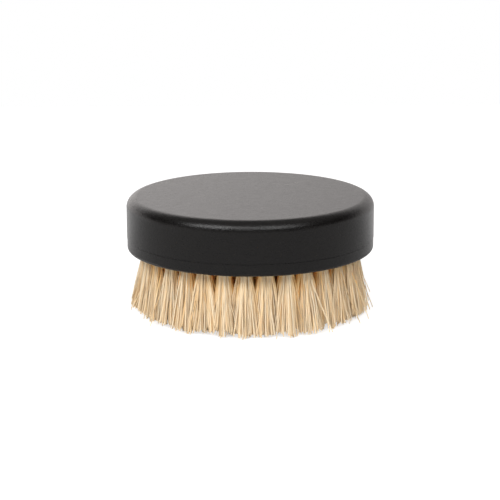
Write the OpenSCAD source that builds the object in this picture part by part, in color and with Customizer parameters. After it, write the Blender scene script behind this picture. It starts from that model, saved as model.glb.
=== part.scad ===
// Round palm brush: a turned hardwood block, drilled from below, with fibre tufts stapled into it.
// The block's axis is Z. The brush stands on its fibre tips at z = 0, with the palm face on top.

/* [Block] */
// Diameter of the turned block
block_d = 90; // [80:1:110]
// Thickness of the block
block_t = 19.4; // [16:0.1:26]
// Radius of the rounded edge round the palm face
top_edge_r = 3.8; // [1:0.1:6]
// Radius of the eased edge round the underside
bottom_edge_r = 1.2; // [0.4:0.1:2.5]
// Height of the turned crease above the underside
crease_h = 4.4; // [3:0.1:8]
// Depth of the turned crease
crease_depth = 0.15; // [0.05:0.05:0.6]
// How far the band below the crease lies inside the wall above it
foot_inset = 0.1; // [0.04:0.02:0.4]

/* [Tuft holes] */
// Diameter of a tuft's hole
hole_d = 5; // [4.2:0.1:6]
// Depth of a tuft's hole, down to its drill point
hole_depth = 11; // [8:0.1:13.2]
// Angle of the drill point at the end of a hole
drill_angle = 130; // [110:1:160]
// Distance from the block's rim to the centre of an outer hole
rim_margin = 8; // [6:0.1:12]
// Least distance between the centres of two holes of a ring
tuft_pitch = 7.2; // [6.4:0.1:10]
// Turn of the outer ring of holes about the block's axis
ring_turn = 8.25; // [0:0.25:360]

/* [Fibre tufts] */
// Length of the fibres below the block
trim_length = 23; // [15:0.5:40]
// Clearance between a tuft's root and the wall of its hole
tuft_clearance = 0.1; // [0.05:0.01:0.2]
// How far a tuft's compact root stands out of its hole
neck_h = 0.8; // [0.3:0.1:2]
// Number of strands round the middle one in a tuft
side_strands = 4; // [3:1:4]
// Gap between the strands of a tuft where they leave its root
root_gap = 0.05; // [0.05:0.05:0.4]
// Gap between the strands of a tuft at their tips
strand_gap = 0.4; // [0.2:0.05:1]
// How far the outer ring's tips lean outwards
tip_lean = 1.6; // [0:0.1:4]
// How much the strands of a tuft differ in length
unevenness = 1.2; // [0:0.1:3]
// Length that the level cut takes off the longest strands
level_cut = 0.5; // [0.5:0.1:1.5]
// Gap that each tuft's tips keep to the edge of their own share of the field
share_gap = 0.25; // [0.15:0.05:0.5]

/* [Staples] */
// Diameter of the staple wire
wire_d = 0.8; // [0.5:0.05:0.9]
// Height of the staple's crown above the floor of its hole
crown_h = 3.2; // [2.8:0.1:5]
// Depth that the staple's legs are driven into the wood
leg_bite = 3; // [1.5:0.1:3]
// Clearance round the staple in its hole and inside the fibres
staple_clearance = 0.05; // [0.03:0.01:0.1]
// Clearance round a staple's leg in the wood
leg_clearance = 0.03; // [0.02:0.01:0.06]

/* [Hidden] */
$fn = 48;

block_r = block_d / 2;
foot_r = block_r - foot_inset;

// The rings share out the way from the outer holes to the middle in equal steps.
RINGS = 5;
outer_ring_r = block_r - rim_margin;
ring_step = outer_ring_r / RINGS;
function ring_r(ring) = outer_ring_r - ring * ring_step;
function ring_count(ring) = ring == RINGS ? 1 : floor(180 / asin(tuft_pitch / 2 / ring_r(ring)));
// Each ring is turned on from the one outside it, so that the tufts don't line up in spokes.
RING_TURN_STEP = 37;

hole_r = hole_d / 2;
drill_point_h = hole_r / tan(drill_angle / 2);
root_r = hole_r - tuft_clearance;

// The staple's legs lie along the wall of the hole, and its crown is half a ring.
wire_r = wire_d / 2;
arch_r = hole_r - staple_clearance - wire_r;
spring_h = crown_h - arch_r;
leg_tip_h = 2 * wire_r;
leg_tip_r = wire_r / 4;

// Below the crown the fibres are pinched between the legs, and fold round under it.
PINCH_GAP = 0.15;
pinch_y = arch_r - wire_r - PINCH_GAP;
pinch_top_h = spring_h + arch_r * 0.45;
fold_r = root_r * 1.1;
FOLD_GAP = 0.1;

// A strand starts inside the root, and bends outwards as it goes down. Three strands and their
// gaps fill the width of a tuft, at the root and in its share of the field at the tips.
STRAND_SIDES = 3;
STRAND_BURIED = 0.6;
STRAND_MIDDLE = 0.45;
STRAND_BEND = 0.3;
ROOT_EDGE = 0.1;
TIP_SCATTER = 0.4;
TURN_SCATTER = 10;
strand_root_r = (root_r - ROOT_EDGE - root_gap) / 3;
root_spread = root_r - ROOT_EDGE - strand_root_r;
share_r = min(tuft_pitch, ring_step) / 2;
strand_tip_r = (share_r - share_gap - TIP_SCATTER - strand_gap) / 3;
tip_spread = share_r - share_gap - strand_tip_r;

OVERCUT = 1;

module rounding(corner, r, up) {
    // What a rounded outer edge leaves away at this corner of the turned profile
    translate([corner[0] - r, corner[1] - up * r]) scale([1, up]) difference() {
        square(r + OVERCUT);
        circle(r);
    }
}

module block_profile() {
    difference() {
        union() {
            square([foot_r, block_t]);
            translate([0, crease_h]) square([block_r, block_t - crease_h]);
        }
        rounding([block_r, block_t], top_edge_r, 1);
        rounding([foot_r, 0], bottom_edge_r, -1);
        translate([block_r, crease_h]) rotate(45)
            square(2 * crease_depth / sqrt(2) * [1, 1], center = true);
    }
}

// Places its children at each hole of a ring: x points outwards, and z up into the wood
// from the block's underside.
module on_ring(ring) {
    count = ring_count(ring);
    for (place = [0 : count - 1])
        rotate(ring_turn + ring * RING_TURN_STEP + place * 360 / count)
            translate([ring_r(ring), 0, trim_length]) {
                $place = place;
                children();
            }
}

module tuft_hole() {
    rotate_extrude()
        polygon([
            [0, -OVERCUT], [hole_r, -OVERCUT], [hole_r, hole_depth], [0, hole_depth + drill_point_h]
        ]);
}

// A straight leg of the given radius, from the spring of the crown to its point in the wood
module staple_leg(r, gap) {
    translate([0, 0, hole_depth - spring_h]) rotate_extrude()
        polygon([
            [0, 0], [r, 0], [r, spring_h + leg_bite - leg_tip_h + gap],
            [leg_tip_r + gap, spring_h + leg_bite + gap], [0, spring_h + leg_bite + gap]
        ]);
}

module staple_legs(r, gap) {
    for (side = [-1, 1]) translate([0, side * arch_r, 0]) staple_leg(r, gap);
}

module staple_crown(r) {
    translate([0, 0, hole_depth - spring_h]) rotate([90, 180, 90])
        rotate_extrude(angle = 180) translate([arch_r, 0]) circle(r);
}

module staple() {
    union() {
        staple_crown(wire_r);
        staple_legs(wire_r, 0);
    }
}

// The doubled end of a tuft: a compact round bundle, folded round the staple's crown
module tuft_root() {
    length = neck_h + hole_depth - FOLD_GAP;
    difference() {
        intersection() {
            translate([0, 0, -neck_h]) cylinder(r = root_r, h = length);
            translate([0, hole_d / 2, 0]) rotate([90, 0, 0]) linear_extrude(hole_d) union() {
                translate([0, hole_depth - FOLD_GAP - fold_r]) circle(fold_r);
                translate([-fold_r, -neck_h - OVERCUT])
                    square([2 * fold_r, length + OVERCUT - fold_r]);
            }
        }
        staple_crown(wire_r + staple_clearance);
        for (side = [-1, 1])
            translate([-hole_d / 2, side < 0 ? -hole_d : pinch_y, hole_depth - pinch_top_h])
                cube([hole_d, hole_d - pinch_y, pinch_top_h + OVERCUT]);
    }
}

function scatter(ring, place, strand, count) =
    rands(-1, 1, count, 1 + strand + 10 * place + 1000 * ring);

function corner_ring(centre, z, r, turn) = [
    for (side = [0 : STRAND_SIDES - 1])
        let (a = turn + side * 360 / STRAND_SIDES)
            [centre[0] + r * cos(a), centre[1] + r * sin(a), z]
];

function polar(r, a) = [r * cos(a), r * sin(a)];

// One strand, from its place in the root to its tip, with its end cut square to the block's axis
module strand(ring, place, index) {
    luck = scatter(ring, place, index, 4);
    middle = index == side_strands;
    bearing = (index + place / 2) * 360 / side_strands + TURN_SCATTER * luck[0];
    start = polar(middle ? 0 : root_spread, bearing);
    lean = [tip_lean * ring_r(ring) / outer_ring_r, 0];
    spread = middle ? TIP_SCATTER : tip_spread - TIP_SCATTER * (1 + luck[1]) / 2;
    end = lean + polar(spread, bearing);
    shorter = middle ? 0 : unevenness * (1 + luck[2]) / 2;
    length = min(trim_length, trim_length + level_cut - shorter);
    waist = start + STRAND_BEND * (end - start);
    waist_r = strand_root_r + STRAND_MIDDLE * (strand_tip_r - strand_root_r);
    turn = 180 * luck[3];
    n = STRAND_SIDES;
    polyhedron(
        points = concat(
            corner_ring(start, STRAND_BURIED - neck_h, strand_root_r, turn),
            corner_ring(waist, -STRAND_MIDDLE * length, waist_r, turn),
            corner_ring(end, -length, strand_tip_r, turn)
        ),
        faces = concat(
            [[for (k = [n - 1 : -1 : 0]) k]],
            [
                for (level = [0, n], k = [0 : n - 1]) each [
                    [level + k, level + (k + 1) % n, level + n + k],
                    [level + (k + 1) % n, level + n + (k + 1) % n, level + n + k]
                ]
            ],
            [[for (k = [0 : n - 1]) 2 * n + k]]
        )
    );
}

module tuft(ring, place) {
    union() {
        tuft_root();
        for (index = [0 : side_strands]) strand(ring, place, index);
    }
}

module block() {
    color("#2a2827") difference() {
        translate([0, 0, trim_length]) rotate_extrude() block_profile();
        for (ring = [0 : RINGS]) on_ring(ring) tuft_hole();
        for (ring = [0 : RINGS]) on_ring(ring) staple_legs(wire_r + leg_clearance, leg_clearance);
    }
}

module ring_tufts(ring) {
    color("#dcc197") on_ring(ring) tuft(ring, $place);
}

module ring_staples(ring) {
    color("#b9babb") on_ring(ring) staple();
}

module outer_ring_tufts() { ring_tufts(0); }
module second_ring_tufts() { ring_tufts(1); }
module third_ring_tufts() { ring_tufts(2); }
module fourth_ring_tufts() { ring_tufts(3); }
module centre_tufts() {
    ring_tufts(4);
    ring_tufts(5);
}

module outer_ring_staples() { ring_staples(0); }
module second_ring_staples() { ring_staples(1); }
module third_ring_staples() { ring_staples(2); }
module fourth_ring_staples() { ring_staples(3); }
module centre_staples() {
    ring_staples(4);
    ring_staples(5);
}

block();
outer_ring_tufts();
second_ring_tufts();
third_ring_tufts();
fourth_ring_tufts();
centre_tufts();
outer_ring_staples();
second_ring_staples();
third_ring_staples();
fourth_ring_staples();
centre_staples();
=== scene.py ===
"""Looks of a round palm brush: a black lacquered beech block with stapled tufts of plant fibre."""
import math

import bpy
import numpy as np
from bpy.props import (
    FloatProperty,
    FloatVectorProperty,
    IntProperty,
    PointerProperty,
    StringProperty,
)
from mathutils import Matrix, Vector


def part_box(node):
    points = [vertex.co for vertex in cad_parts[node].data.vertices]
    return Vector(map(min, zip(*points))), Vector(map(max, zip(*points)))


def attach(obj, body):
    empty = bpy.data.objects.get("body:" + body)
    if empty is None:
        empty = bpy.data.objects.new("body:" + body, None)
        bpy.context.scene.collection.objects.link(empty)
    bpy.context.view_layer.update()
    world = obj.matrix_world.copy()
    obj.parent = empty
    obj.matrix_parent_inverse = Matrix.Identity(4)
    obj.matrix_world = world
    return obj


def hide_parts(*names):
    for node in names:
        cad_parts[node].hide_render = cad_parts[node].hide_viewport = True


bl_info = {
    "name": "Palm Brush",
    "version": (1, 0, 0),
    "blender": (4, 5, 0),
    "location": "View3D > Sidebar > Palm Brush",
    "description": "Finishes the block, binds the fibre tufts and builds the studio",
    "category": "Object",
}

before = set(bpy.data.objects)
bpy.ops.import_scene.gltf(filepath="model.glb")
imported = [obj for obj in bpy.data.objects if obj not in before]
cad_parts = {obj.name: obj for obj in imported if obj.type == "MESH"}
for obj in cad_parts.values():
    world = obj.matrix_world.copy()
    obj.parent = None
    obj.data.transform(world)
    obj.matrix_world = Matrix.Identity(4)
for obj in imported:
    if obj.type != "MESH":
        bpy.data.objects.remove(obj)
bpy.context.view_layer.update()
MM = 0.001
BLOCK_LOW, BLOCK_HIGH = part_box("block")
UNDERSIDE = BLOCK_LOW.z
BLOCK_RADIUS = BLOCK_HIGH.x
# The outer tufts stand about this far from the brush's axis
OUTER_RING_RADIUS = BLOCK_RADIUS - 8 * MM

# Each ring's CAD tufts, and the names of the pieces that share their fibres, from the rim inwards
RINGS = {
    "outer_ring_tufts": ["outer_ring_fibres_left", "outer_ring_fibres_right"],
    "second_ring_tufts": ["second_ring_fibres"],
    "third_ring_tufts": ["third_ring_fibres"],
    "fourth_ring_tufts": ["fourth_ring_fibres"],
    "centre_tufts": ["centre_fibres"],
}
STAPLES = [
    "outer_ring_staples",
    "second_ring_staples",
    "third_ring_staples",
    "fourth_ring_staples",
    "centre_staples",
]


def linear(colour):
    """An sRGB hex colour as linear RGBA."""
    parts = [int(colour[i : i + 2], 16) / 255 for i in (1, 3, 5)]
    return [
        part / 12.92 if part <= 0.04045 else ((part + 0.055) / 1.055) ** 2.4
        for part in parts
    ] + [1.0]


def add_node(tree, kind, sockets=None, stops=(), **settings):
    """Adds a shader node, sets its properties, and fills or links its sockets. The stops are those of
    a colour ramp, as (place, hex colour)."""
    node = tree.nodes.new(kind)
    for name, value in settings.items():
        setattr(node, name, value)
    for number, (place, colour) in enumerate(stops):
        elements = node.color_ramp.elements
        element = elements[number] if number < len(elements) else elements.new(place)
        element.position = place
        element.color = linear(colour)
    for name, value in (sockets or {}).items():
        if isinstance(value, bpy.types.NodeSocket):
            tree.links.new(value, node.inputs[name])
        else:
            node.inputs[name].default_value = value
    return node


def new_material(name):
    """An empty node material, with its tree and its output node."""
    material = bpy.data.materials.new(name)
    material.use_nodes = True
    material.node_tree.nodes.clear()
    output = add_node(material.node_tree, "ShaderNodeOutputMaterial")
    return material, material.node_tree, output


def put_material(piece, material):
    """Gives a piece one material in all its slots."""
    piece.data.materials.clear()
    piece.data.materials.append(material)


def lacquered_beech(look):
    """Satin black lacquer sprayed on turned beech. The eye sees a nearly black body that turns grey at
    grazing angles, with a soft sheen broken by the lacquer's skin and by the pores that show through.
    Real pores and ripples are finer than the render can show, so both are drawn coarser."""
    material, tree, output = new_material("lacquered_beech")
    place = add_node(tree, "ShaderNodeTexCoord").outputs["Object"]
    along_grain = add_node(
        tree,
        "ShaderNodeMapping",
        {"Vector": place, "Scale": (1 / look.pore_length, 1 / look.pore_width, 1 / look.pore_width)},
    ).outputs["Vector"]
    pores = add_node(
        tree,
        "ShaderNodeTexNoise",
        {"Vector": along_grain, "Scale": 1.0, "Detail": 3.0, "Roughness": 0.65},
    ).outputs["Fac"]
    skin = add_node(
        tree,
        "ShaderNodeTexNoise",
        {"Vector": place, "Scale": 1 / look.skin_size, "Detail": 2.0, "Roughness": 0.6},
    ).outputs["Fac"]
    pore_share = 0.5
    relief = add_node(
        tree, "ShaderNodeMath", {0: pores, 1: pore_share, 2: skin}, operation="MULTIPLY_ADD"
    ).outputs["Value"]
    bump = add_node(
        tree,
        "ShaderNodeBump",
        {"Height": relief, "Strength": look.relief_strength, "Distance": look.relief_depth},
    ).outputs["Normal"]
    colour = add_node(
        tree,
        "ShaderNodeValToRGB",
        {"Fac": pores},
        stops=[(0.35, look.pore_colour), (0.7, look.body_colour)],
    ).outputs["Color"]
    swing = 0.03
    roughness = add_node(
        tree,
        "ShaderNodeMapRange",
        {
            "Value": pores,
            "From Min": 0.3,
            "From Max": 0.7,
            "To Min": look.roughness - swing,
            "To Max": look.roughness + swing,
        },
    ).outputs["Result"]
    shader = add_node(
        tree,
        "ShaderNodeBsdfPrincipled",
        {
            "Base Color": colour,
            "Roughness": roughness,
            "IOR": 1.5,
            "Specular IOR Level": look.specular,
            "Normal": bump,
        },
    ).outputs["BSDF"]
    tree.links.new(shader, output.inputs["Surface"])
    return material


def plant_fibre(look):
    """Dressed plant fibre, straight and hardly waxy. The eye sees dull cream strands that differ a little in
    tint. Near the block, where tufts face each other, the strands turn golden and darker; this is painted
    shade, standing for the warm shade among the packed fibres. A point's tint runs from 0, the most golden,
    to 1, the palest. The fibres' own tints keep to the pale end, and the golden end is reached through that
    painted shade."""
    material, tree, output = new_material("plant_fibre")
    # The tint attribute holds the fibre's own tint, darkened near the block by painted shade
    tint = add_node(tree, "ShaderNodeAttribute", attribute_name="tint").outputs["Fac"]
    # Amber, honey and gold are the colours of the painted shade; straw and cream are the fibres' own
    strand_colour = add_node(
        tree,
        "ShaderNodeValToRGB",
        {"Fac": tint},
        stops=[
            (0.0, look.amber_shade_colour),
            (0.12, look.honey_shade_colour),
            (0.3, look.gold_shade_colour),
            (0.6, look.straw_colour),
            (1.0, look.cream_colour),
        ],
    ).outputs["Color"]
    shader = add_node(
        tree,
        "ShaderNodeBsdfPrincipled",
        {
            "Base Color": strand_colour,
            "Roughness": look.roughness,
            "IOR": 1.5,
            "Specular IOR Level": look.specular,
        },
    ).outputs["BSDF"]
    tree.links.new(shader, output.inputs["Surface"])
    return material


def galvanised_wire():
    """Drawn steel wire with a zinc coat: a pale grey metal with a dull, slightly uneven shine."""
    material, tree, output = new_material("galvanised_wire")
    place = add_node(tree, "ShaderNodeTexCoord").outputs["Object"]
    grain_size = 0.3 * MM
    grain = add_node(
        tree, "ShaderNodeTexNoise", {"Vector": place, "Scale": 1 / grain_size}
    ).outputs["Fac"]
    roughness = add_node(
        tree, "ShaderNodeMapRange", {"Value": grain, "To Min": 0.3, "To Max": 0.5}
    ).outputs["Result"]
    shader = add_node(
        tree,
        "ShaderNodeBsdfPrincipled",
        {"Base Color": linear("#b9bbbd"), "Metallic": 1.0, "Roughness": roughness},
    ).outputs["BSDF"]
    tree.links.new(shader, output.inputs["Surface"])
    return material


def paper_floor(look):
    """White background paper: a matt sheet that takes the brush's soft shadow. To the camera and in
    reflections a little light is added, so that the lit paper comes out white. In reflections the
    paper brightens behind the brush, where it sweeps up."""
    material, tree, output = new_material("paper_floor")
    place = add_node(tree, "ShaderNodeTexCoord").outputs["Object"]
    behind = add_node(tree, "ShaderNodeSeparateXYZ", {"Vector": place}).outputs["Y"]
    mirrored_glow = add_node(
        tree,
        "ShaderNodeMapRange",
        {
            "Value": behind,
            "From Min": 60 * MM,
            "From Max": 120 * MM,
            "To Min": look.mirrored_glow,
            "To Max": look.sweep_glow,
        },
    ).outputs["Result"]
    ray = add_node(tree, "ShaderNodeLightPath")
    strength = 0.0
    for kind, glow in [
        ("Is Camera Ray", look.seen_glow),
        ("Is Glossy Ray", mirrored_glow),
        ("Is Transmission Ray", mirrored_glow),
    ]:
        strength = add_node(
            tree, "ShaderNodeMath", {0: ray.outputs[kind], 1: glow, 2: strength}, operation="MULTIPLY_ADD"
        ).outputs["Value"]
    paper = add_node(
        tree, "ShaderNodeBsdfDiffuse", {"Color": linear(look.floor_colour)}
    ).outputs["BSDF"]
    light = add_node(
        tree, "ShaderNodeEmission", {"Color": linear("#ffffff"), "Strength": strength}
    ).outputs["Emission"]
    lifted = add_node(tree, "ShaderNodeAddShader", {0: paper, 1: light}).outputs["Shader"]
    tree.links.new(lifted, output.inputs["Surface"])
    return material


def tuft_places(node):
    """Centres of a ring's tufts, as an array of (x, y). The CAD roots' points are sorted by bearing
    round the axis and split where the bearing jumps. A root's centre has the middle bearing and the
    middle radius of its points. A root that covers the axis is centred on it."""
    least_depth = 2 * MM
    axis_reach = 3 * MM
    gap = 1 * MM
    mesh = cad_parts[node].data
    points = np.empty(len(mesh.vertices) * 3, np.float32)
    mesh.vertices.foreach_get("co", points)
    points = points.reshape(-1, 3).astype(float)
    inside = points[points[:, 2] > UNDERSIDE + least_depth, :2]
    radius = np.hypot(inside[:, 0], inside[:, 1])
    on_axis = radius < axis_reach
    ring = inside[~on_axis]
    bearing = np.arctan2(ring[:, 1], ring[:, 0])
    order = np.argsort(bearing)
    bearing = bearing[order]
    radius = radius[~on_axis][order]
    jump = gap / radius.max()

    # The sorted points start anew after a jump, so that no root is cut in two
    full_turn = 2 * math.pi
    start = np.flatnonzero(np.diff(bearing, append=bearing[0] + full_turn) > jump)[-1] + 1
    bearing = np.concatenate([bearing[start:], bearing[:start] + full_turn])
    radius = np.roll(radius, -start)
    splits = np.flatnonzero(np.diff(bearing) > jump) + 1
    places = []
    for radii, bearings in zip(np.split(radius, splits), np.split(bearing, splits)):
        middle_radius = (radii.min() + radii.max()) / 2
        middle_bearing = (bearings.min() + bearings.max()) / 2
        places.append((middle_radius * math.cos(middle_bearing), middle_radius * math.sin(middle_bearing)))
    if on_axis.any():
        places.append((0.0, 0.0))
    return np.array(places)


def held_within(offsets, limit):
    """Offsets from a middle, with those that reach past a limit pulled back to it."""
    reach = np.linalg.norm(offsets, axis=-1, keepdims=True)
    return offsets / np.maximum(1, reach / limit)


def fibre_paths(places, look, count, levels, dice):
    """Centre lines of the fibres of some tufts, as an array (fibre, level, xyz), and how much each
    fibre stands on the side that faces away from the brush's axis, from 0 to 1.

    Places in a tuft are shares of its radius. The fibres belong to a few locks, spread over the round
    root as the seeds of a sunflower are. A fibre's root is its lock's place with a scatter. Its tip is
    its lock's place, moved with the lock and scattered, and held within the tuft's edge. Loose fibres
    stray farther. The tip's place is then taken to the tip radius, and the whole tuft leans outwards
    and strays a little. The tips end above the floor by a share of the unevenness, which is partly the
    lock's and partly the fibre's own.

    Inside the hole a fibre is upright. Below the block it goes from its root's place to its tip's as
    its share of the drop to the power of its bend, so a tuft opens like a fan. The power is higher for
    the part of the way that leads away from the axis, which comes later than the part along the ring.
    A slow sideways sine wave grows with the drop. The levels are closer together near the block."""
    root_scatter = 0.2
    tip_radius_scatter = 0.07
    lock_length_share = 0.6
    own_length_share = 0.4
    own_length_curve = (1.2, 1.7)
    lock_length_power = 1.3
    level_power = 1.5
    least_power = 0.3
    wave_turns = 0.8
    facing_gain = 1.1
    facing_start = 0.15

    tufts = len(places)
    shape = (tufts, count)
    full_turn = 2 * math.pi
    seeds = np.arange(look.locks) + 0.5
    golden_turn = math.pi * (3 - math.sqrt(5))
    turn = seeds * golden_turn + dice.uniform(0, full_turn, (tufts, 1))
    lock_root = np.sqrt(seeds / look.locks)[:, None] * np.stack([np.cos(turn), np.sin(turn)], -1)
    lock_tip = lock_root + dice.normal(0, look.lock_scatter, lock_root.shape)
    lock_length = dice.uniform(0, 1, (tufts, look.locks))

    lock = dice.integers(0, look.locks, shape)
    own_root = np.take_along_axis(lock_root, lock[..., None], 1)
    own_root = held_within(own_root + dice.normal(0, root_scatter, (*shape, 2)), 1)
    own_tip = np.take_along_axis(lock_tip, lock[..., None], 1)
    own_tip = own_tip + dice.normal(0, look.fibre_scatter, (*shape, 2))
    own_tip *= np.linalg.norm(own_tip, axis=-1, keepdims=True) ** look.gathering
    own_tip = held_within(own_tip, look.tuft_edge)
    loose = dice.uniform(0, 1, shape) < look.loose_share
    own_tip += np.where(loose[..., None], dice.normal(0, look.loose_scatter, (*shape, 2)), 0)
    own_tip = held_within(own_tip, look.most_stray)
    outward = places / np.maximum(np.hypot(places[:, :1], places[:, 1:]), MM)
    outward = outward[:, None]
    across = np.sum(own_tip * outward, -1, keepdims=True) * outward
    own_tip = across + (own_tip - across) * look.side_spread

    root = places[:, None] + own_root * look.root_radius
    lean = 1 + look.lean / OUTER_RING_RADIUS
    tuft_shift = dice.normal(0, look.tuft_scatter, (tufts, 1, 2))
    tip_radius = look.tip_radius * dice.normal(1, tip_radius_scatter, (tufts, 1, 1))
    tip = places[:, None] * lean + tuft_shift + own_tip * tip_radius
    lock_part = np.take_along_axis(lock_length, lock, 1) ** lock_length_power
    own_part = dice.beta(*own_length_curve, shape)
    tip_height = look.unevenness * (lock_length_share * lock_part + own_length_share * own_part)

    level = np.linspace(0, 1, levels - 1) ** level_power
    drop = np.concatenate([[-look.root_depth / UNDERSIDE], level])
    height = UNDERSIDE - (UNDERSIDE - tip_height[..., None]) * drop
    below = np.maximum(drop, 0)
    bend = dice.uniform(look.least_bend, look.most_bend, (*shape, 1))
    bend += dice.normal(0, look.lock_bend, (tufts, look.locks, 1))[np.arange(tufts)[:, None], lock]
    bend = np.maximum(bend, least_power)
    reach = below[..., None] ** bend[..., None]
    outward_reach = below[..., None] ** (bend[..., None] + look.outward_delay)
    way = tip - root
    way_out = np.sum(way * outward, -1, keepdims=True) * outward
    way_round = way - way_out
    wave_size = dice.normal(0, look.wave, shape)[..., None]
    wave_start = dice.uniform(0, full_turn, (*shape, 1))
    wave = wave_size * np.sin(full_turn * below * wave_turns + wave_start) * below
    side_turn = dice.uniform(0, full_turn, shape)
    sideways = np.stack([np.cos(side_turn), np.sin(side_turn)], -1)
    flat = (
        root[:, :, None]
        + way_round[:, :, None] * reach
        + way_out[:, :, None] * outward_reach
        + sideways[:, :, None] * wave[..., None]
    )
    paths = np.concatenate([flat, height[..., None]], -1).reshape(-1, levels, 3)
    # How much a fibre faces outwards; fibres that face out get less painted shade near the block
    facing_out = np.sum(own_root * outward, -1)
    exposure = np.clip(facing_gain * facing_out + facing_start, 0, 1).ravel()
    return paths, exposure


def fibre_mesh(name, paths, widths, sides, tints, painted_shade_tints, painted_shade_lengths, dice):
    """One mesh of many closed fibres. Each fibre is a level polygon of its own width and turn, repeated at
    every level of its path, joined by quads and closed by a face at each end. A point's tint is its fibre's,
    with painted shade near the block: there it is multiplied by the fibre's painted shade tint, and from the
    block down to the fibre's painted shade length the factor rises to 1 as a smooth step."""
    fibres, levels, _ = paths.shape
    angles = np.arange(sides) * 2 * math.pi / sides + dice.uniform(0, 2 * math.pi, (fibres, 1))
    ring = np.stack([np.cos(angles), np.sin(angles), np.zeros_like(angles)], -1)
    points = paths[:, :, None] + ring[:, None] * widths[:, None, None, None] / 2
    corner = np.arange(fibres * levels * sides).reshape(fibres, levels, sides)
    upper, lower = corner[:, :-1], corner[:, 1:]
    walls = np.stack([upper, lower, np.roll(lower, -1, 2), np.roll(upper, -1, 2)], -1)
    caps = np.stack([corner[:, 0], corner[:, -1, ::-1]], 1)
    wall_count = walls.size // 4
    cap_count = caps.size // sides
    loops = np.concatenate([walls.ravel(), caps.ravel()])
    starts = np.concatenate(
        [np.arange(wall_count) * 4, wall_count * 4 + np.arange(cap_count) * sides]
    )
    mesh = bpy.data.meshes.new(name)
    mesh.vertices.add(points.size // 3)
    mesh.vertices.foreach_set("co", points.astype(np.float32).ravel())
    mesh.loops.add(len(loops))
    mesh.loops.foreach_set("vertex_index", loops.astype(np.int32))
    mesh.polygons.add(len(starts))
    mesh.polygons.foreach_set("loop_start", starts.astype(np.int32))
    mesh.polygons.foreach_set("use_smooth", np.zeros(len(starts), bool))
    # Painted shade: near the block each fibre's tint is darkened towards gold, and the darkening fades out
    # by a smooth step
    unshaded = np.clip((UNDERSIDE - paths[:, :, 2]) / painted_shade_lengths[:, None], 0, 1)
    unshaded = unshaded * unshaded * (3 - 2 * unshaded)
    shaded = tints[:, None] * (painted_shade_tints[:, None] * (1 - unshaded) + unshaded)
    # The tint attribute carries each fibre's own tint times the painted shade near the block
    tint = mesh.attributes.new("tint", "FLOAT", "POINT")
    tint.data.foreach_set("value", np.repeat(shaded.ravel(), sides).astype(np.float32))
    mesh.update(calc_edges=True)
    mesh.validate()
    return mesh


def studio_world(scene, look):
    """The light all round: a white wall behind and at the sides, a darker room in front and a dark
    ceiling that brightens overhead. The parts of a direction's unit vector tell where it points. The
    wall's brightness runs from left to right, and the wall reaches highest straight behind. What the
    camera itself sees past the floor is white."""
    side_span = (-1.0, 1.0)
    back_span = (-0.15, 0.15)
    wall_rise = (0.35, 0.8)
    ceiling_rise = (0.5, 0.9)
    back_fade = (0.7, 0.92)
    front_fade = (-0.35, -0.9)
    edge_fade = (-0.07, 0.07)

    world = bpy.data.worlds.new("studio_world")
    world.use_nodes = True
    tree = world.node_tree
    tree.nodes.clear()
    output = add_node(tree, "ShaderNodeOutputWorld")
    direction = add_node(tree, "ShaderNodeTexCoord").outputs["Generated"]
    parts = add_node(tree, "ShaderNodeSeparateXYZ", {"Vector": direction})
    to_right, away, up = parts.outputs["X"], parts.outputs["Y"], parts.outputs["Z"]
    wall_top = add_node(
        tree,
        "ShaderNodeMapRange",
        {
            "Value": away,
            "From Min": wall_rise[0],
            "From Max": wall_rise[1],
            "To Min": look.side_top,
            "To Max": look.wall_top,
        },
        interpolation_type="SMOOTHSTEP",
    ).outputs["Result"]
    above = add_node(
        tree, "ShaderNodeMath", {0: up, 1: wall_top}, operation="SUBTRACT"
    ).outputs["Value"]
    side, back, ceiling = [
        add_node(
            tree,
            "ShaderNodeMapRange",
            {"Value": part, "From Min": start, "From Max": end, "To Min": low, "To Max": high},
        ).outputs["Result"]
        for part, (start, end), low, high in [
            (to_right, side_span, look.left_level, look.right_level),
            (to_right, back_span, look.back_left_level, look.back_right_level),
            (up, ceiling_rise, look.low_ceiling_level, look.ceiling_level),
        ]
    ]
    to_back, to_front, to_ceiling = [
        add_node(
            tree,
            "ShaderNodeMapRange",
            {"Value": part, "From Min": start, "From Max": end},
            interpolation_type="SMOOTHSTEP",
        ).outputs["Result"]
        for part, (start, end) in [(away, back_fade), (away, front_fade), (above, edge_fade)]
    ]
    seen = add_node(tree, "ShaderNodeLightPath").outputs["Is Camera Ray"]
    level = side
    for share, other in [
        (to_back, back),
        (to_front, look.room_level),
        (to_ceiling, ceiling),
        (seen, 1.0),
    ]:
        level = add_node(
            tree, "ShaderNodeMapRange", {"Value": share, "To Min": level, "To Max": other}
        ).outputs["Result"]
    # A colour mix's sockets share their names with others, so they go by number
    colour = add_node(
        tree,
        "ShaderNodeMix",
        {0: seen, 6: linear(look.wall_colour), 7: linear("#ffffff")},
        data_type="RGBA",
    ).outputs[2]
    background = add_node(
        tree, "ShaderNodeBackground", {"Color": colour, "Strength": level}
    ).outputs["Background"]
    tree.links.new(background, output.inputs["Surface"])
    scene.world = world


def softbox(scene, name, azimuth, elevation, distance, width, height, power):
    """A rectangular softbox that faces the block's underside, placed by its azimuth from the front
    (positive to the right), its elevation and its distance."""
    data = bpy.data.lights.new(name, "AREA")
    data.shape = "RECTANGLE"
    data.size = width
    data.size_y = height
    data.energy = power
    lamp = bpy.data.objects.new(name, data)
    a, e = math.radians(azimuth), math.radians(elevation)
    way = np.array([math.sin(a) * math.cos(e), -math.cos(a) * math.cos(e), math.sin(e)])
    centre = np.array([0, 0, UNDERSIDE])
    lamp.location = centre + distance * way
    lamp.rotation_euler = (math.pi / 2 - e, 0, a)
    scene.collection.objects.link(lamp)
    return lamp


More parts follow.
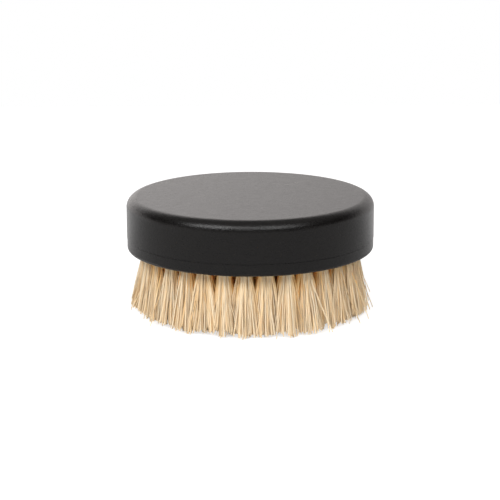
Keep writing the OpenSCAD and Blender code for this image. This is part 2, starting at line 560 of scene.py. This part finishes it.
def product_camera(look):
    """A camera in front of the block's centre, turned to its aim and then rolled about its view."""
    centre = np.array([0, 0, (BLOCK_LOW.z + BLOCK_HIGH.z) / 2])
    e = look.elevation
    place = centre + look.distance * np.array([0, -math.cos(e), math.sin(e)])
    aim = np.array(look.aim) - place
    yaw = math.atan2(-aim[0], aim[1])
    tilt = math.pi / 2 + math.atan2(aim[2], math.hypot(aim[0], aim[1]))
    data = bpy.data.cameras.new("camera")
    data.sensor_width = 36
    data.lens = look.lens
    camera = bpy.data.objects.new("camera", data)
    turn = Matrix.Rotation(yaw, 3, "Z") @ Matrix.Rotation(tilt, 3, "X")
    camera.rotation_euler = (turn @ Matrix.Rotation(look.roll, 3, "Z")).to_euler()
    camera.location = place
    return camera


class BlockLook(bpy.types.PropertyGroup):
    """Finish of the turned block."""

    body_colour: StringProperty(
        name="Body colour", description="sRGB hex of the lacquer over the wood", default="#100e0d"
    )
    pore_colour: StringProperty(
        name="Pore colour", description="sRGB hex of the lacquer in the pores", default="#070606"
    )
    roughness: FloatProperty(
        name="Roughness", description="Roughness of the satin lacquer", default=0.29, min=0, max=1
    )
    specular: FloatProperty(
        name="Specular", description="Specular level of the lacquer", default=0.325, min=0, max=1
    )
    skin_size: FloatProperty(
        name="Skin size", description="Size of the lacquer's ripples", default=0.6 * MM, unit="LENGTH"
    )
    pore_width: FloatProperty(
        name="Pore width", description="Width of the wood's pores", default=0.35 * MM, unit="LENGTH"
    )
    pore_length: FloatProperty(
        name="Pore length", description="Length of the wood's pores", default=5 * MM, unit="LENGTH"
    )
    relief_depth: FloatProperty(
        name="Relief depth", description="Depth of ripples and pores", default=0.075 * MM, unit="LENGTH"
    )
    relief_strength: FloatProperty(
        name="Relief strength", description="How much the relief shows", default=1.0, min=0, max=1
    )


class FibreLook(bpy.types.PropertyGroup):
    """Number, shape and tint of the tufts' fibres."""

    seed: IntProperty(name="Seed", description="Seed of the fibres' scatter", default=7)
    outer_count: IntProperty(
        name="Outer fibres", description="Fibres in a tuft of the outer ring", default=265
    )
    inner_count: IntProperty(
        name="Inner fibres", description="Fibres in a tuft of the other rings", default=220
    )
    outer_levels: IntProperty(
        name="Outer levels", description="Points along a fibre of the outer ring", default=8, min=3
    )
    inner_levels: IntProperty(
        name="Inner levels", description="Points along a fibre of the other rings", default=6, min=3
    )
    sides: IntProperty(name="Sides", description="Sides of a fibre's section", default=3, min=3)
    locks: IntProperty(name="Locks", description="Locks of fibres in a tuft", default=17)
    width: FloatProperty(
        name="Width", description="Usual width of a fibre", default=0.42 * MM, unit="LENGTH"
    )
    root_radius: FloatProperty(
        name="Root radius", description="Radius of a tuft in its hole", default=2.25 * MM, unit="LENGTH"
    )
    root_depth: FloatProperty(
        name="Root depth", description="How deep the fibres go into the hole", default=2 * MM, unit="LENGTH"
    )
    tip_radius: FloatProperty(
        name="Tip radius", description="Radius of a tuft at its tips", default=5.7 * MM, unit="LENGTH"
    )
    lean: FloatProperty(
        name="Lean", description="How far the outer tufts lean outwards", default=0.2 * MM, unit="LENGTH"
    )
    unevenness: FloatProperty(
        name="Unevenness",
        description="How much the fibres differ in length",
        default=4.0 * MM,
        unit="LENGTH",
    )
    tuft_scatter: FloatProperty(
        name="Tuft scatter", description="How far a whole tuft strays", default=0.25 * MM, unit="LENGTH"
    )
    lock_scatter: FloatProperty(
        name="Lock scatter",
        description="How far a lock strays, as a share of the tuft's radius",
        default=0.12,
    )
    fibre_scatter: FloatProperty(
        name="Fibre scatter",
        description="How far a fibre strays, as a share of the tuft's radius",
        default=0.19,
    )
    loose_share: FloatProperty(
        name="Loose share", description="Share of the fibres that stray far", default=0.04, min=0, max=1
    )
    loose_scatter: FloatProperty(
        name="Loose scatter",
        description="How far loose fibres stray, as a share of the tuft's radius",
        default=0.6,
    )
    tuft_edge: FloatProperty(
        name="Tuft edge",
        description="Farthest tip that isn't loose, as a share of the tuft's radius",
        default=1.1,
    )
    side_spread: FloatProperty(
        name="Side spread",
        description="How wide a tuft opens along its ring, as a share of how wide it opens across",
        default=0.98,
    )
    most_stray: FloatProperty(
        name="Most stray",
        description="Farthest that any tip strays, as a share of the tuft's radius",
        default=1.7,
    )
    gathering: FloatProperty(
        name="Gathering", description="How much the tips keep to the middle of the tuft", default=0.05
    )
    outward_delay: FloatProperty(
        name="Outward delay",
        description="Added to the bend's power for the way that leads away from the axis",
        default=0.15,
    )
    lock_bend: FloatProperty(
        name="Lock bend", description="How much the locks differ in their bend's power", default=0.12
    )
    least_bend: FloatProperty(
        name="Least bend", description="Lowest power of a fibre's bend, where 1 is straight", default=0.7
    )
    most_bend: FloatProperty(
        name="Most bend", description="Highest power of a fibre's bend, where 1 is straight", default=1.1
    )
    wave: FloatProperty(
        name="Wave", description="Size of the fibres' waves", default=0.4 * MM, unit="LENGTH"
    )
    # Amber, honey and gold are reached only where painted shade lowers a fibre's tint near the block
    amber_shade_colour: StringProperty(
        name="Amber colour", description="sRGB hex of tint 0, the most golden", default="#f98f32"
    )
    honey_shade_colour: StringProperty(name="Honey colour", description="sRGB hex of tint 0.12", default="#fbb362")
    gold_shade_colour: StringProperty(name="Gold colour", description="sRGB hex of tint 0.3", default="#f7c078")
    straw_colour: StringProperty(name="Straw colour", description="sRGB hex of tint 0.6", default="#f4cd90")
    cream_colour: StringProperty(
        name="Cream colour", description="sRGB hex of tint 1, the palest", default="#f1e1c5"
    )
    least_tint: FloatProperty(
        name="Least tint",
        description="Tint of the most golden fibres, where 1 is the palest",
        default=0.68,
        min=0,
        max=1,
    )
    # The next four set the painted shade near the block, which darkens fibres towards gold: how far down it
    # reaches and how much of the tint it leaves
    exposed_shade_length: FloatProperty(
        name="Exposed length",
        description="How far below the block the fibres that face outwards are packed",
        default=7 * MM,
        unit="LENGTH",
    )
    hidden_shade_length: FloatProperty(
        name="Hidden length",
        description="How far below the block the fibres that face other tufts are packed",
        default=17.5 * MM,
        unit="LENGTH",
    )
    exposed_shade_factor: FloatProperty(
        name="Exposed tint",
        description="Share of the tint that is left where fibres that face outwards are packed",
        default=1.0,
        min=0,
        max=1,
    )
    hidden_shade_factor: FloatProperty(
        name="Hidden tint",
        description="Share of the tint that is left where fibres that face other tufts are packed",
        default=0.05,
        min=0,
        max=1,
    )
    roughness: FloatProperty(
        name="Roughness", description="Roughness of the fibres", default=0.55, min=0, max=1
    )
    specular: FloatProperty(
        name="Specular", description="Specular level of the fibres", default=0.08, min=0, max=1
    )


class StudioLook(bpy.types.PropertyGroup):
    """Camera, floor, surrounding light and lamps."""

    lens: FloatProperty(name="Lens", description="Camera lens in millimetres", default=131.4)
    distance: FloatProperty(
        name="Distance", description="Camera to the block's centre", default=0.666, unit="LENGTH"
    )
    elevation: FloatProperty(
        name="Elevation",
        description="Camera above the horizon, seen from the block's centre",
        default=math.radians(13.0),
        unit="ROTATION",
    )
    aim: FloatVectorProperty(
        name="Aim",
        description="Point that the camera looks at",
        default=(-0.15 * MM, 0, 21.6 * MM),
        unit="LENGTH",
    )
    roll: FloatProperty(
        name="Roll",
        description="Turn of the camera about its view",
        default=math.radians(-0.2),
        unit="ROTATION",
    )
    floor_size: FloatProperty(
        name="Floor size", description="Width of the floor", default=0.9, unit="LENGTH"
    )
    floor_colour: StringProperty(name="Floor colour", description="sRGB hex", default="#d9d9d9")
    seen_glow: FloatProperty(
        name="Seen glow", description="Light added to the floor that the camera sees", default=0.66
    )
    mirrored_glow: FloatProperty(
        name="Mirrored glow", description="Light added to the floor's reflection", default=0.0
    )
    sweep_glow: FloatProperty(
        name="Sweep glow", description="Light added to the reflection of the floor behind", default=0.48
    )
    wall_colour: StringProperty(name="Wall colour", description="sRGB hex", default="#fffaf8")
    left_level: FloatProperty(name="Left level", description="Brightness of the left wall", default=1.3)
    right_level: FloatProperty(name="Right level", description="Brightness of the right wall", default=1.0)
    back_left_level: FloatProperty(
        name="Back left level", description="Brightness of the wall behind, at the left", default=1.56
    )
    back_right_level: FloatProperty(
        name="Back right level", description="Brightness of the wall behind, at the right", default=0.90
    )
    room_level: FloatProperty(name="Room level", description="Brightness in front", default=0.3)
    ceiling_level: FloatProperty(name="Ceiling level", description="Brightness overhead", default=0.45)
    low_ceiling_level: FloatProperty(
        name="Low ceiling level", description="Brightness just above the walls", default=0.05
    )
    wall_top: FloatProperty(
        name="Wall top", description="Sine of the elevation where the wall behind ends", default=0.62
    )
    side_top: FloatProperty(
        name="Side top", description="Sine of the elevation where the side walls end", default=0.06
    )
    key_power: FloatProperty(name="Key power", description="Left softbox in watts", default=5.1)
    fill_power: FloatProperty(name="Fill power", description="Right softbox in watts", default=3.75)
    front_power: FloatProperty(name="Front power", description="Low front light in watts", default=1.5)


class BRUSH_OT_finish_block(bpy.types.Operator):
    """Gives the turned block its black lacquer."""

    bl_idname = "brush.finish_block"
    bl_label = "Finish block"

    def execute(self, context):
        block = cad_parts["block"]
        put_material(block, lacquered_beech(context.scene.brush_block))
        return {"FINISHED"}


class BRUSH_OT_bind_tufts(bpy.types.Operator):
    """Binds the fibres of every ring of tufts."""

    bl_idname = "brush.bind_tufts"
    bl_label = "Bind tufts"

    def execute(self, context):
        look = context.scene.brush_fibres
        thinnest, widest = 0.7, 1.15
        tint_curve = (2.2, 1.3)
        dice = np.random.default_rng(look.seed)
        material = plant_fibre(look)
        for node, names in RINGS.items():
            outer = node == "outer_ring_tufts"
            count = look.outer_count if outer else look.inner_count
            levels = look.outer_levels if outer else look.inner_levels
            places = tuft_places(node)
            # From left to right, so that the outer ring's two pieces are its left and its right half
            places = places[np.argsort(places[:, 0])]
            for name, share in zip(names, np.array_split(places, len(names))):
                paths, exposure = fibre_paths(share, look, count, levels, dice)
                # The inner rings' fibres all get the painted shade of fibres that face other tufts
                if not outer:
                    exposure = np.zeros_like(exposure)
                widths = look.width * dice.uniform(thinnest, widest, len(paths))
                tints = look.least_tint + (1 - look.least_tint) * dice.beta(*tint_curve, len(paths))
                # Painted shade near the block: its strength and reach run between those of fibres that face
                # out and those that face other tufts
                painted_shade_tints = look.hidden_shade_factor + (look.exposed_shade_factor - look.hidden_shade_factor) * exposure
                painted_shade_lengths = look.hidden_shade_length + (look.exposed_shade_length - look.hidden_shade_length) * exposure
                mesh = fibre_mesh(
                    name, paths, widths, look.sides, tints, painted_shade_tints, painted_shade_lengths, dice
                )
                piece = bpy.data.objects.new(name, mesh)
                context.scene.collection.objects.link(piece)
                put_material(piece, material)
                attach(piece, "root")
                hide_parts(node)
        return {"FINISHED"}


class BRUSH_OT_finish_staples(bpy.types.Operator):
    """Gives the staples inside the block their zinc-coated wire."""

    bl_idname = "brush.finish_staples"
    bl_label = "Finish staples"

    def execute(self, context):
        material = galvanised_wire()
        for node in STAPLES:
            put_material(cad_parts[node], material)
        return {"FINISHED"}


class BRUSH_OT_build_studio(bpy.types.Operator):
    """Lays the paper floor and sets the lamps, the world and the camera."""

    bl_idname = "brush.build_studio"
    bl_label = "Build studio"

    def execute(self, context):
        scene = context.scene
        look = scene.brush_studio
        half = look.floor_size / 2
        corners = [(-half, -half, 0), (half, -half, 0), (half, half, 0), (-half, half, 0)]
        mesh = bpy.data.meshes.new("floor")
        mesh.from_pydata(corners, [], [(0, 1, 2, 3)])
        floor = bpy.data.objects.new("floor", mesh)
        scene.collection.objects.link(floor)
        put_material(floor, paper_floor(look))

        studio_world(scene, look)
        distance = 0.95
        key_place = {"azimuth": -37, "elevation": 38.5, "distance": distance}
        fill_place = {"azimuth": 21, "elevation": 39, "distance": distance}
        front_place = {"azimuth": -5, "elevation": 9, "distance": distance}
        softbox(scene, "key_softbox", **key_place, width=0.62, height=0.38, power=look.key_power)
        softbox(scene, "fill_softbox", **fill_place, width=0.72, height=0.42, power=look.fill_power)
        # A low light that fills the shadow under the block, and stays out of the lacquer's reflections
        front = softbox(scene, "front_light", **front_place, width=1.0, height=0.3, power=look.front_power)
        front.visible_glossy = False

        camera = product_camera(look)
        scene.collection.objects.link(camera)
        scene.camera = camera
        scene.view_settings.view_transform = "Standard"
        return {"FINISHED"}


class BRUSH_PT_panel(bpy.types.Panel):
    """Lists the steps that build the brush's looks."""

    bl_idname = "BRUSH_PT_panel"
    bl_label = "Palm Brush"
    bl_space_type = "VIEW_3D"
    bl_region_type = "UI"
    bl_category = "Palm Brush"

    def draw(self, context):
        for operator in OPERATORS:
            self.layout.operator(operator.bl_idname)


OPERATORS = (
    BRUSH_OT_finish_block,
    BRUSH_OT_bind_tufts,
    BRUSH_OT_finish_staples,
    BRUSH_OT_build_studio,
)
LOOKS = {"brush_block": BlockLook, "brush_fibres": FibreLook, "brush_studio": StudioLook}
CLASSES = (*LOOKS.values(), *OPERATORS, BRUSH_PT_panel)


def register():
    for cls in CLASSES:
        bpy.utils.register_class(cls)
    for name, look in LOOKS.items():
        setattr(bpy.types.Scene, name, PointerProperty(type=look))


def unregister():
    for name in LOOKS:
        delattr(bpy.types.Scene, name)
    for cls in reversed(CLASSES):
        bpy.utils.unregister_class(cls)


def main():
    register()
    bpy.ops.brush.finish_block()
    bpy.ops.brush.bind_tufts()
    bpy.ops.brush.finish_staples()
    bpy.ops.brush.build_studio()


if __name__ == "__main__":
    main()
